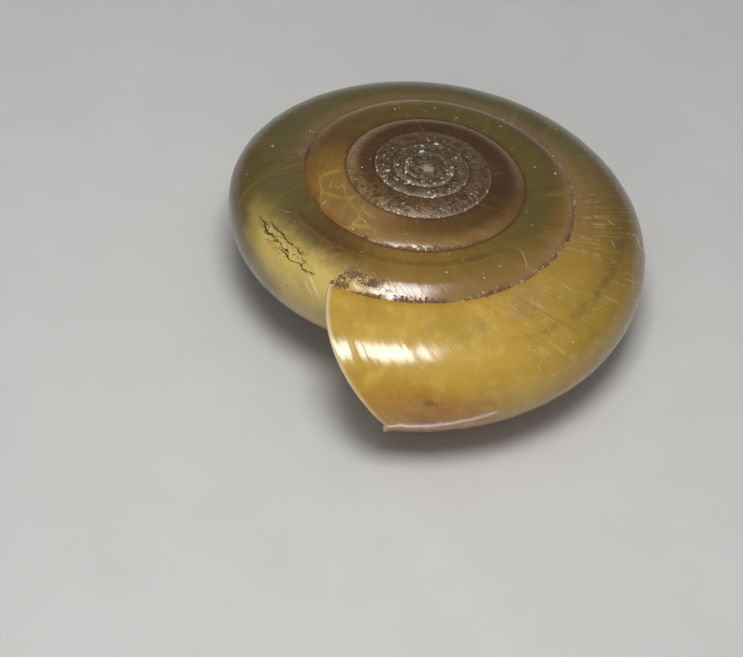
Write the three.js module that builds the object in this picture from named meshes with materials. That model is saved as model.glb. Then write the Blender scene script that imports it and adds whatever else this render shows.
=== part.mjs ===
// An empty right-handed land snail shell, lying on its base.
// One thin-walled tube is coiled round an upright axis. Each whorl leans on the one before it,
// the tube is open at the lip, and its hollow runs back almost to the nucleus.
// Units are millimetres, +Z is up, and the origin is under the middle of the bounding box.
import * as THREE from "three";
import { mergeVertices } from "three/addons/utils/BufferGeometryUtils.js";

// Growth, counted in turns back from the lip (0 is the lip, -1 one turn earlier).
const turns = 5.6;
const growthPerTurn = 1.532;
const lipAzimuth = -116.3;
const firstHollowTurn = -4.4;

// The section of the tube at the lip's scale: radii from the axis, heights from the apex.
const suture = { radius: 5.15, height: -1.24 };
const crestRadius = 4.3;
const outerRadius = 8.24;
const bodyCentreHeight = -3.7;
const baseHeight = -6.42;
const umbilicusWall = { radius: 1.26, height: -3.47 };

// Superellipse powers: the spire's shoulder is squarer than the last whorl's.
const spireShoulderPower = 3;
const bodyShoulderPower = 2.27;
const basePower = 2;
const spireEndTurn = -1;
const bodyStartTurn = -0.6;

// Towards the lip the tube grows a little more slowly than the rest.
const slowTurn = -0.85;
const slowWidth = 0.175;
const slowHeight = 0.157;

// The lip leans: from the suture down to just below the widest ring it lags further and
// further behind, in degrees round the axis.
const lipLag = 24.5;
const lagEndAngle = THREE.MathUtils.degToRad(-10);
const wallAtLip = 0.18;
const wedgeFactor = 1.5;

// The axis leans this far, towards this azimuth, when the shell lies on its base.
const restLean = 4.45;
const restLeanAzimuth = 97.9;
const restFlat = 0.04;

// Facets.
const stepsPerTurn = 30;
const upperSteps = 3;
const middleSteps = 7;
const lowerSteps = 3;
const nucleusRise = 0.09;
const umbilicusRise = 0.06;

const upperEnd = upperSteps;
const middleStart = upperEnd + 1;
const middleEnd = middleStart + middleSteps;
const lowerStart = middleEnd + 1;
const sectionEnd = lowerStart + lowerSteps;
const lipColumn = Math.round(turns * stepsPerTurn);
const lastCovered = lipColumn - stepsPerTurn;
const firstHollow = lipColumn + Math.round(firstHollowTurn * stepsPerTurn);

const turnOf = (column) => (column - lipColumn) / stepsPerTurn;
const scaleAt = (turn) => growthPerTurn ** turn;
const wallAt = (turn) => wallAtLip * Math.sqrt(scaleAt(turn));
const ease = (value, from, to) => THREE.MathUtils.smoothstep(value, from, to);
const mix = THREE.MathUtils.lerp;

function cornerHeight(across, power) {
  return (1 - across ** power) ** (1 / power);
}

// The height of the spire's widest ring that makes its shoulder pass through both sutures.
function spireCentreHeight() {
  const reach = outerRadius - crestRadius;
  const own = cornerHeight((suture.radius - crestRadius) / reach, spireShoulderPower);
  const next = cornerHeight((suture.radius * growthPerTurn - crestRadius) / reach, spireShoulderPower);
  const ratio = next / own;
  return (-suture.height * (ratio - growthPerTurn)) / (1 - ratio);
}

// The outline of the tube at one turn, still at the lip's scale.
function outlineAt(turn) {
  const body = ease(turn, spireEndTurn, bodyStartTurn);
  const slow = ease(turn, slowTurn, 0);
  const power = mix(spireShoulderPower, bodyShoulderPower, body);
  const outer = suture.radius + (outerRadius - suture.radius) * (1 - slowWidth * slow);
  const fullCentre = mix(spireCentreHeight(), bodyCentreHeight, body);
  const centre = suture.height + (fullCentre - suture.height) * (1 - slowHeight * slow);
  const base = suture.height + (baseHeight - suture.height) * (1 - slowHeight * slow);
  const sutureAcross = (suture.radius - crestRadius) / (outer - crestRadius);
  const crest = centre + (suture.height - centre) / cornerHeight(sutureAcross, power);
  const sutureAngle = Math.acos(sutureAcross ** (power / 2));
  return { power, outer, centre, base, crest, sutureAngle };
}

// A point of the outline: 90 degrees is the crest, 0 the widest ring, -90 the base and
// -180 the umbilicus wall. It gives the radius and the height, scaled to the turn.
function outlinePoint(turn, angle) {
  const outline = outlineAt(turn);
  const power = angle > 0 ? outline.power : basePower;
  const across = Math.abs(Math.cos(angle)) ** (2 / power);
  const along = Math.abs(Math.sin(angle)) ** (2 / power);
  let radius = crestRadius + (outline.outer - crestRadius) * across;
  let height = outline.centre + (outline.crest - outline.centre) * along;
  if (angle <= 0) {
    height = outline.centre - (outline.centre - outline.base) * along;
  }
  if (angle < -Math.PI / 2) {
    radius = crestRadius - (crestRadius - umbilicusWall.radius) * across;
    height = umbilicusWall.height - (umbilicusWall.height - outline.base) * along;
  }
  return new THREE.Vector2(radius, height).multiplyScalar(scaleAt(turn));
}

function placeInSpace(turn, point) {
  const azimuth = THREE.MathUtils.degToRad(lipAzimuth - 360 * turn);
  return new THREE.Vector3(point.x * Math.cos(azimuth), point.x * Math.sin(azimuth), point.y);
}

// How fast the outline point moves with the angle, and the unit normal that points inwards.
function outlineSlope(turn, angle) {
  const step = 0.01;
  const slope = outlinePoint(turn, angle + step).sub(outlinePoint(turn, angle - step));
  const speed = slope.length() / (2 * step);
  const inward = new THREE.Vector2(-slope.y, slope.x).normalize();
  return { speed, inward };
}

// Where the next whorl's suture and umbilicus wall sit on the spire's outline.
const nextSutureReach = suture.radius * growthPerTurn - crestRadius;
const nextSutureAcross = nextSutureReach / (outerRadius - crestRadius);
const nextSutureAngle = Math.acos(nextSutureAcross ** (spireShoulderPower / 2));
const nextWallReach = crestRadius - umbilicusWall.radius * growthPerTurn;
const nextWallAcross = nextWallReach / (crestRadius - umbilicusWall.radius);
const nextWallAngle = -Math.PI + Math.acos(nextWallAcross);

// The outline angle of one vertex of a column. The middle band leaves room, at both ends,
// for the thickness of the next whorl's wall.
function vertexAngle(turn, place) {
  const gap = wedgeFactor * wallAt(turn + 1);
  const from = nextSutureAngle - gap / outlineSlope(turn, nextSutureAngle).speed;
  const to = nextWallAngle + gap / outlineSlope(turn, nextWallAngle).speed;
  if (place <= upperEnd) {
    return mix(outlineAt(turn).sutureAngle, nextSutureAngle, place / upperSteps);
  }
  if (place >= lowerStart) {
    return mix(nextWallAngle, -Math.PI, (place - lowerStart) / lowerSteps);
  }
  return mix(from, to, (place - middleStart) / middleSteps);
}

// How far a vertex lags behind its column, in turns: as the lip does near the lip, and only
// over the middle band where the next whorl covers it.
function vertexLag(turn, place) {
  const covered = THREE.MathUtils.clamp((place - middleStart) / middleSteps, 0, 1);
  const sutureAngle = outlineAt(turn).sutureAngle;
  const below = (sutureAngle - vertexAngle(turn, place)) / (sutureAngle - lagEndAngle);
  const open = THREE.MathUtils.clamp(below, 0, 1);
  return (lipLag / 360) * mix(covered, open, ease(turn, spireEndTurn, bodyStartTurn));
}

function outerVertex(column, place) {
  if (column <= lastCovered && place === upperEnd) {
    return outerVertex(column + stepsPerTurn, 0);
  }
  if (column <= lastCovered && place === lowerStart) {
    return outerVertex(column + stepsPerTurn, sectionEnd);
  }
  const turn = turnOf(column) - vertexLag(turnOf(column), place);
  return placeInSpace(turn, outlinePoint(turn, vertexAngle(turn, place)));
}

function innerVertex(column, place) {
  if (place === 0) {
    return outerVertex(column - stepsPerTurn, middleStart);
  }
  if (place === sectionEnd) {
    return outerVertex(column - stepsPerTurn, middleEnd);
  }
  const turn = turnOf(column) - vertexLag(turnOf(column), place);
  const angle = vertexAngle(turn, place);
  const { inward } = outlineSlope(turn, angle);
  return placeInSpace(turn, outlinePoint(turn, angle).addScaledVector(inward, wallAt(turn)));
}

const corners = [];

function addTriangle(a, b, c) {
  corners.push(a, b, c);
}

// A band of quads between two rows of points. Its outside is on the right of the way from
// row a to row b, looking along the rows.
function addBand(rowA, rowB) {
  for (let i = 0; i + 1 < rowA.length; i += 1) {
    addTriangle(rowA[i], rowB[i], rowA[i + 1]);
    addTriangle(rowA[i + 1], rowB[i], rowB[i + 1]);
  }
}

function addFan(centre, loop) {
  loop.forEach((point, i) => addTriangle(centre, loop[(i + 1) % loop.length], point));
}

function row(makeVertex, column, from, to) {
  return Array.from({ length: to - from + 1 }, (_, i) => makeVertex(column, from + i));
}

function columnRow(from, to, place) {
  return Array.from({ length: to - from + 1 }, (_, i) => outerVertex(from + i, place));
}

function middleOf(points, rise) {
  const sum = points.reduce((total, point) => total.add(point), new THREE.Vector3());
  return sum.divideScalar(points.length).add(new THREE.Vector3(0, 0, rise));
}

// The outside: two bands on every covered whorl, and the whole section on the last one.
function addOutside() {
  for (let column = 0; column < lipColumn; column += 1) {
    const covered = column < lastCovered;
    const bands = covered ? [[0, upperEnd], [lowerStart, sectionEnd]] : [[0, sectionEnd]];
    for (const [from, to] of bands) {
      addBand(row(outerVertex, column, from, to), row(outerVertex, column + 1, from, to));
    }
  }
}

// The hollow: the inside of the tube's own wall, and the wall of the whorl that it leans on.
function addHollow() {
  for (let column = firstHollow; column < lipColumn; column += 1) {
    addBand(row(innerVertex, column + 1, 0, sectionEnd), row(innerVertex, column, 0, sectionEnd));
    const leaning = row(outerVertex, column - stepsPerTurn, middleStart, middleEnd);
    const leaningNext = row(outerVertex, column + 1 - stepsPerTurn, middleStart, middleEnd);
    addBand(leaning, leaningNext);
  }
  const own = row(innerVertex, firstHollow, 0, sectionEnd);
  const leaning = row(outerVertex, firstHollow - stepsPerTurn, middleStart, middleEnd);
  const loop = own.slice(0, -1).concat(leaning.reverse().slice(0, -1));
  addFan(middleOf(loop, 0), loop);
}

function addLip() {
  addBand(row(outerVertex, lipColumn, 0, sectionEnd), row(innerVertex, lipColumn, 0, sectionEnd));
}

// The nucleus closes the top, and the umbilicus ends just under it.
function addNucleus() {
  const top = columnRow(0, stepsPerTurn - 1, 0);
  const topLoop = top.concat(row(outerVertex, 0, 1, upperEnd).reverse());
  addFan(middleOf(topLoop, nucleusRise), topLoop);
  const bottom = columnRow(0, stepsPerTurn - 1, sectionEnd);
  const bottomLoop = bottom.concat(row(outerVertex, 0, lowerStart, sectionEnd - 1));
  addFan(middleOf(bottomLoop, umbilicusRise), bottomLoop.reverse());
}

// The shell is leaned onto its base, and the spots it rests on are worn flat.
function layOnBase(geometry) {
  const azimuth = THREE.MathUtils.degToRad(restLeanAzimuth);
  const leanAxis = new THREE.Vector3(-Math.sin(azimuth), Math.cos(azimuth), 0);
  const lean = THREE.MathUtils.degToRad(restLean);
  geometry.applyMatrix4(new THREE.Matrix4().makeRotationAxis(leanAxis, lean));
  geometry.computeBoundingBox();
  const box = geometry.boundingBox;
  const floor = box.min.z + restFlat;
  const position = geometry.getAttribute("position");
  for (let i = 0; i < position.count; i += 1) {
    position.setZ(i, Math.max(position.getZ(i), floor));
  }
  geometry.translate(-(box.min.x + box.max.x) / 2, -(box.min.y + box.max.y) / 2, -floor);
  return geometry;
}

function makeShell() {
  addOutside();
  addHollow();
  addLip();
  addNucleus();
  const loose = new THREE.BufferGeometry().setFromPoints(corners);
  const geometry = layOnBase(mergeVertices(loose, 1e-5));
  geometry.computeVertexNormals();
  const material = new THREE.MeshStandardMaterial({ color: 0xa8782c, roughness: 0.22, metalness: 0 });
  const mesh = new THREE.Mesh(geometry, material);
  mesh.name = "shell";
  return mesh;
}

const part = new THREE.Group();
part.add(makeShell());
export default part;
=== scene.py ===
"""The looks of an empty land snail shell: its fine wall with some painted light and shade, its dirt, specks and lint,
and the studio.
"""
import math

import bmesh
import bpy
import numpy as np
from mathutils import Matrix, Vector


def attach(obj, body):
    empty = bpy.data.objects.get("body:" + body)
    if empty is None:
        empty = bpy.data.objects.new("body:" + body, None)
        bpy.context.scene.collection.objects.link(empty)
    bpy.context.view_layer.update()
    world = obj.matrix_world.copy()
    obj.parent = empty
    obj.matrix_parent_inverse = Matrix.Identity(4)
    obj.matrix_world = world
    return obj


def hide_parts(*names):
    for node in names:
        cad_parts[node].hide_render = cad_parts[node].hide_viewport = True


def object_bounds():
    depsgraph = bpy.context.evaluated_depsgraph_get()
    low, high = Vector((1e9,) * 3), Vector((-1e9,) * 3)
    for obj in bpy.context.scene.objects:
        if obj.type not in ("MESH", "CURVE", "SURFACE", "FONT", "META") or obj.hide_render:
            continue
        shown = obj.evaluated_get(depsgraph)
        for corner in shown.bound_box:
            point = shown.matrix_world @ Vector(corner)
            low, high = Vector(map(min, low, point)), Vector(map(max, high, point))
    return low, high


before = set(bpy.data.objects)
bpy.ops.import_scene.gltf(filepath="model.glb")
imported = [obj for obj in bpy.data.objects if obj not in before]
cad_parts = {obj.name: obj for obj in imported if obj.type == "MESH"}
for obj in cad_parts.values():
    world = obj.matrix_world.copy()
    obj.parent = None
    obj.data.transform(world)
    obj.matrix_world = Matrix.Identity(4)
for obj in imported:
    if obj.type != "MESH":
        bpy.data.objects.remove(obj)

cad_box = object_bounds()
MM = 0.001

# ---------------------------------------------------------------- the coil's shape, in millimetres

# Every whorl is the next one shrunk by GROWTH. Turns count from the lip, 0, back to the apex, -6. Radii are from
# the coil's axis and heights from the point that it grows out of, both at the lip's scale.
GROWTH = 1.532
LIP_AZIMUTH = -116.3
SUTURE_RADIUS = 5.15
SUTURE_HEIGHT = -1.24
CREST_RADIUS = 4.3
OUTER_RADIUS = 8.24
BODY_CENTRE = -3.7
BASE_HEIGHT = -6.42
UMBILICUS_RADIUS = 1.26
UMBILICUS_HEIGHT = -3.47
# How square each part of the outline is: 2 is an ellipse. The spire's outline turns into the last whorl's.
SPIRE_POWER = 3.0
BODY_POWER = 2.27
BASE_POWER = 2.0
SPIRE_END = -1.0
BODY_START = -0.6
# The last whorl grows more slowly, by these shares at the lip.
SLOW_TURN = -0.85
SLOW_WIDTH = 0.175
SLOW_HEIGHT = 0.157
# The lip and the growth lines lean back from the suture, by this share of a turn at the widest ring.
LIP_LAG = 24.5 / 360
LAG_END = math.radians(-10)
# The wall thins at the lip. The edge's middle line is a share of the wall forward and inward of its outer rim.
WALL_AT_LIP = 0.18
LIP_TAPER = 0.5
LIP_TAPER_START = -0.06
LIP_FORWARD = 0.4
LIP_INWARD = 0.45
# How wide a gap the next whorl's wall is given where it joins, in thicknesses of that wall.
WEDGE = 1.5
# The whole coil leans on its base, which is pressed flat where it rests, and its worn tip has slipped.
LEAN = math.radians(4.45)
LEAN_AZIMUTH = math.radians(97.9)
WORN_FLAT = 0.04
APEX_SLIP = (0.0, -0.28, -0.08)
APEX_REACH = 1.8
APEX_SLIP_HEIGHTS = (2.5, 4.5)
# A small step, in turns or radians, for directions on the surface.
STEP = 0.002

# Rows of points from the suture, over the widest ring and the base, to the umbilicus wall.
UPPER = 10
MIDDLE_ROWS = 24
LOWER_ROWS = 6
MIDDLE_START = UPPER + 1
MIDDLE_END = MIDDLE_START + MIDDLE_ROWS
LOWER_START = MIDDLE_END + 1
LAST_ROW = LOWER_START + LOWER_ROWS
# Columns of points in each turn, from the last whorl inwards: above, and on the umbilicus wall.
COLUMNS = (1080, 1080, 540, 270, 150, 100)
LOWER_COLUMNS = (1080, 200, 150, 100, 80, 60)
NUCLEUS_RISE = 0.09
UMBILICUS_RISE = 0.06
CAP_RINGS = 8
HOLLOW_START = -4.4
FINE_HOLLOW = -0.5
HOLLOW_TURNS = np.concatenate([np.linspace(HOLLOW_START, FINE_HOLLOW, 274)[:-1], np.linspace(FINE_HOLLOW, 0, 131)])


def mix(low, high, share):
    """From low at share 0 to high at share 1."""
    return low + (high - low) * share


def ease(value, start, end):
    """0 before start, 1 after end, and a smooth step between."""
    share = np.clip((value - start) / (end - start), 0, 1)
    return share * share * (3 - 2 * share)


def plateau(value, start, full, fading, end):
    """0 before start and after end, and 1 from full to fading."""
    return ease(value, start, full) * (1 - ease(value, fading, end))


def corner(across, power):
    """The height, as a share, of a rounded corner at a share of its width."""
    return (1 - across**power) ** (1 / power)


def spire_centre():
    """The height of the spire's widest ring that makes its shoulder pass through both sutures."""
    reach = OUTER_RADIUS - CREST_RADIUS
    own = corner((SUTURE_RADIUS - CREST_RADIUS) / reach, SPIRE_POWER)
    following = corner((SUTURE_RADIUS * GROWTH - CREST_RADIUS) / reach, SPIRE_POWER)
    ratio = following / own
    return -SUTURE_HEIGHT * (ratio - GROWTH) / (1 - ratio)


SPIRE_CENTRE = spire_centre()
# The angles on the outline where the next whorl joins it, above and on the umbilicus wall.
FOLLOWING_ACROSS = (SUTURE_RADIUS * GROWTH - CREST_RADIUS) / (OUTER_RADIUS - CREST_RADIUS)
FOLLOWING_SUTURE = math.acos(FOLLOWING_ACROSS ** (SPIRE_POWER / 2))
UMBILICUS_ACROSS = (CREST_RADIUS - UMBILICUS_RADIUS * GROWTH) / (CREST_RADIUS - UMBILICUS_RADIUS)
FOLLOWING_WALL = math.acos(UMBILICUS_ACROSS) - math.pi


def outline_at(turn):
    """The outline at each turn, at the lip's scale: its power, outer radius, heights and the suture's angle."""
    body = ease(turn, SPIRE_END, BODY_START)
    slow = ease(turn, SLOW_TURN, 0)
    power = mix(SPIRE_POWER, BODY_POWER, body)
    outer = SUTURE_RADIUS + (OUTER_RADIUS - SUTURE_RADIUS) * (1 - SLOW_WIDTH * slow)
    full_centre = mix(SPIRE_CENTRE, BODY_CENTRE, body)
    centre = SUTURE_HEIGHT + (full_centre - SUTURE_HEIGHT) * (1 - SLOW_HEIGHT * slow)
    base = SUTURE_HEIGHT + (BASE_HEIGHT - SUTURE_HEIGHT) * (1 - SLOW_HEIGHT * slow)
    across = (SUTURE_RADIUS - CREST_RADIUS) / (outer - CREST_RADIUS)
    crest = centre + (SUTURE_HEIGHT - centre) / corner(across, power)
    return power, outer, centre, base, crest, np.arccos(across ** (power / 2))


def outline_point(turn, angle):
    """Radius and height at an angle: 90 is the crest, 0 the widest ring, -90 the base, -180 the umbilicus."""
    power, outer, centre, base, crest, _ = outline_at(turn)
    power = np.where(angle > 0, power, BASE_POWER)
    across = np.abs(np.cos(angle)) ** (2 / power)
    along = np.abs(np.sin(angle)) ** (2 / power)
    inner_side = angle < -math.pi / 2
    radius = np.where(
        inner_side,
        CREST_RADIUS - (CREST_RADIUS - UMBILICUS_RADIUS) * across,
        CREST_RADIUS + (outer - CREST_RADIUS) * across,
    )
    height = np.where(angle > 0, centre + (crest - centre) * along, centre - (centre - base) * along)
    height = np.where(inner_side, UMBILICUS_HEIGHT - (UMBILICUS_HEIGHT - base) * along, height)
    scale = GROWTH**turn
    return radius * scale, height * scale


def in_space(turn, radius, height):
    """The point on the upright coil."""
    azimuth = np.radians(LIP_AZIMUTH - 360 * turn)
    return np.stack([radius * np.cos(azimuth), radius * np.sin(azimuth), height], -1)


def smooth_point(turn, angle):
    return in_space(turn, *outline_point(turn, angle))


def outward(turn, angle):
    """The unit normal of the smooth surface."""
    angle = np.maximum(angle, STEP - math.pi)
    along = smooth_point(turn, angle + STEP) - smooth_point(turn, angle - STEP)
    forward = smooth_point(turn + STEP, angle) - smooth_point(turn - STEP, angle)
    normal = np.cross(along, forward)
    return normal / np.linalg.norm(normal, axis=-1, keepdims=True)


def speed(turn, angle):
    """How many millimetres one radian of the outline's angle covers."""
    after = outline_point(turn, angle + STEP)
    before = outline_point(turn, angle - STEP)
    return np.hypot(after[0] - before[0], after[1] - before[1]) / (2 * STEP)


def wall_at(turn):
    """The wall's thickness in millimetres."""
    return WALL_AT_LIP * GROWTH ** (turn / 2) * (1 - LIP_TAPER * ease(turn, LIP_TAPER_START, 0))


def row_angle(turn, row):
    """The outline angle of each row; the middle rows leave room for the next whorl's wall."""
    gap = WEDGE * WALL_AT_LIP * GROWTH ** ((turn + 1) / 2)
    start = FOLLOWING_SUTURE - gap / speed(turn, FOLLOWING_SUTURE)
    end = FOLLOWING_WALL + gap / speed(turn, FOLLOWING_WALL)
    upper = mix(outline_at(turn)[5], FOLLOWING_SUTURE, row / UPPER)
    middle = mix(start, end, (row - MIDDLE_START) / MIDDLE_ROWS)
    lower = mix(FOLLOWING_WALL, -math.pi, (row - LOWER_START) / LOWER_ROWS)
    return np.where(row <= UPPER, upper, np.where(row >= LOWER_START, lower, middle))


def growth_lag(turn, angle):
    """How far the growth line through the suture has fallen behind at an angle, in turns."""
    suture = outline_at(turn)[5]
    return LIP_LAG * np.clip((suture - angle) / (suture - LAG_END), 0, 1)


def row_lag(turn, row):
    """The lag of each row. On the spire it is only taken up over the rows that the next whorl covers."""
    covered = np.clip((row - MIDDLE_START) / MIDDLE_ROWS, 0, 1)
    return mix(LIP_LAG * covered, growth_lag(turn, row_angle(turn, row)), ease(turn, SPIRE_END, BODY_START))


# ---------------------------------------------------------------- relief of the outer surface

NOISE_CELLS = 512
# Relief along the growth lines: cells in a turn, degrees in a cell, the seed, and the height in millimetres.
WRINKLES = (62, 55, 1, 0.008)
LINES = (150, 40, 2, 0.0045)
THREADS = (330, 30, 3, 0.002)
DENTS = (11, 24, 4, 0.012)
# These two are multiplied.
FINE_PITS = (170, 9, 5, 1.0)
COARSE_PITS = (90, 14, 6, 0.03)
# How strong the growth lines are all over, and how much more on the rough side, near the lip and by the crust.
PLAIN_STRENGTH = 0.55
ROUGH_STRENGTH = 1.1
LIP_STRENGTH = 1.1
CRUST_STRENGTH = 1.6
RIDGE_HEIGHT = 0.075
APEX_BULGE = 0.045
LIP_FOLD = 0.022
LIP_GROOVE = 0.012
# How slowly the pits and the bulge shrink towards the apex.
APEX_SHRINK = 0.3


def value_noise(x, y, seed):
    """Smooth noise from -1 to 1 that repeats every NOISE_CELLS cells."""
    cells = np.random.default_rng(seed).uniform(-1, 1, (NOISE_CELLS, NOISE_CELLS))
    column, line = np.floor(x).astype(int), np.floor(y).astype(int)
    u, v = x - column, y - line
    u, v = u * u * (3 - 2 * u), v * v * (3 - 2 * v)
    column, line = column % NOISE_CELLS, line % NOISE_CELLS
    next_column, next_line = (column + 1) % NOISE_CELLS, (line + 1) % NOISE_CELLS
    near = mix(cells[column, line], cells[next_column, line], u)
    far = mix(cells[column, next_line], cells[next_column, next_line], u)
    return mix(near, far, v)


def relief_noise(turn, degrees, kind):
    per_turn, cell_degrees, seed, height = kind
    return value_noise(turn * per_turn, degrees / cell_degrees, seed) * height


def relief(turn, angle):
    """Height in millimetres above the smooth surface: growth lines, dents, the spiral ridge, lip and worn apex."""
    growth = turn + growth_lag(turn, angle)
    degrees = np.degrees(angle)
    scale = GROWTH**turn
    rough_side = plateau(growth, -0.42, -0.3, -0.2, -0.1) * ease(degrees, -30, 20)
    near_lip = ease(growth, -0.14, -0.02)
    crusted = plateau(growth, -1.08, -1.03, -0.99, -0.96) * (degrees > 20)
    strength = PLAIN_STRENGTH + ROUGH_STRENGTH * rough_side + LIP_STRENGTH * near_lip + CRUST_STRENGTH * crusted
    lines = sum(relief_noise(growth, degrees, kind) for kind in (WRINKLES, LINES, THREADS))
    ridge = RIDGE_HEIGHT * plateau(degrees, 38, 62, 62, 92) * plateau(growth, -1.3, -1.18, -0.97, -0.9)
    lip = LIP_FOLD * ease(growth, -0.006, 0) - LIP_GROOVE * plateau(growth, -0.016, -0.01, -0.008, -0.003)
    worn = 1 - ease(turn, -2.9, -2.3)
    pits = relief_noise(turn, degrees, FINE_PITS) * relief_noise(turn, degrees, COARSE_PITS)
    suture = outline_at(turn)[5]
    share = np.clip((suture - angle) / (suture - FOLLOWING_SUTURE), 0, 1)
    bulge = APEX_BULGE * np.sin(math.pi * share) * (1 - ease(turn, -3.4, -2.4))
    on_whorls = lines * strength * np.sqrt(scale) + lip + relief_noise(growth, degrees, DENTS) * scale + ridge
    return on_whorls + (pits * worn + bulge) * scale**APEX_SHRINK


def outer_point(turn, angle):
    """The point on the finished outer surface."""
    bump = relief(turn, angle)
    return smooth_point(turn, angle) + outward(turn, angle) * bump[..., None]


# ---------------------------------------------------------------- the shell's mesh

# Growth: turns from the lip. Angle: place on the outline, in degrees. Across: 0 at the whorl's own suture,
# 1 where the next whorl would join, 2 to 3 on the umbilicus wall. The sutures: millimetres to each, or FAR.
VALUES = ("growth", "angle", "across", "own_suture", "next_suture", "inside")
FAR = 9.0
ACROSS_ROWS = (0, UPPER, MIDDLE_START, MIDDLE_END, LOWER_START, LAST_ROW)
ACROSS_VALUES = (0, 1, 1.02, 1.98, 2, 3)
# Inside: 1 on the pale glaze of the hollow, fading on the whorl below the mouth, and this much on the lip's edge.
GLAZE_END = -0.05
LIP_GLAZE = 0.3
SHARP_ANGLE = math.radians(40)


class Skin:
    """Collects the points and faces of one mesh, and the values that its finish reads."""

    def __init__(self):
        self.points = []
        self.values = {name: [] for name in VALUES}
        self.faces = []
        self.count = 0

    def add(self, points, **values):
        """Adds points in the shape of their first axes and returns their numbers in that shape."""
        shape = points.shape[:-1]
        numbers = np.arange(self.count, self.count + math.prod(shape)).reshape(shape)
        self.points.append(points.reshape(-1, 3))
        for name, parts in self.values.items():
            parts.append(np.broadcast_to(values.get(name, 0.0), shape).ravel())
        self.count += numbers.size
        return numbers

    def sheet(self, numbers, flip=False):
        """Quads between neighbouring rows and columns of points."""
        quads = np.stack([numbers[:-1, :-1], numbers[1:, :-1], numbers[1:, 1:], numbers[:-1, 1:]], -1)
        quads = quads.reshape(-1, 4)
        self.faces += (quads[:, ::-1] if flip else quads).tolist()

    def stitch(self, left, right):
        """Triangles between two lines of points that may differ in number."""
        i = j = 0
        last_i, last_j = len(left) - 1, len(right) - 1
        while i < last_i or j < last_j:
            step_left = j == last_j or (i < last_i and (i + 1) * last_j <= (j + 1) * last_i)
            face = [left[i], right[j], left[i + 1]] if step_left else [left[i], right[j], right[j + 1]]
            i, j = (i + 1, j) if step_left else (i, j + 1)
            if len(set(face)) == 3:
                self.faces.append([int(n) for n in face])

    def fan(self, centre, loop, flip=False):
        """Triangles from one point to each side of a closed loop."""
        for here, there in zip(loop, np.roll(loop, -1)):
            face = [int(centre), int(there), int(here)]
            self.faces.append(face[::-1] if flip else face)

    def make(self, name):
        """Makes the piece, in metres."""
        mesh = bpy.data.meshes.new(name)
        mesh.from_pydata((np.concatenate(self.points) * MM).tolist(), [], self.faces)
        for label, parts in self.values.items():
            layer = mesh.attributes.new(label, "FLOAT", "POINT")
            layer.data.foreach_set("value", np.concatenate(parts).astype(np.float32))
        mesh.shade_smooth()
        mesh.set_sharp_from_angle(angle=SHARP_ANGLE)
        piece = bpy.data.objects.new(name, mesh)
        bpy.context.scene.collection.objects.link(piece)
        return piece


def outside_sheet(start, end, columns, rows):
    """Some rows of one turn of the outer surface: points, values for the finish, and distances from the first row."""
    column = np.linspace(start, end, columns + 1)[:, None]
    row = rows[None, :].astype(float)
    turn = column - row_lag(column, row)
    angle = row_angle(turn, row)
    points = outer_point(turn, angle)
    steps = np.linalg.norm(np.diff(points, axis=1), axis=-1)
    travelled = np.concatenate([np.zeros((len(column), 1)), np.cumsum(steps, axis=1)], axis=1)
    across = np.tile(np.interp(rows, ACROSS_ROWS, ACROSS_VALUES), (len(column), 1))
    values = dict(growth=turn + growth_lag(turn, angle), angle=np.degrees(angle), across=across)
    return points, values, travelled


def part_of(values, columns):
    """The values of some rows only."""
    return {name: value[:, columns] for name, value in values.items()}


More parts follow.
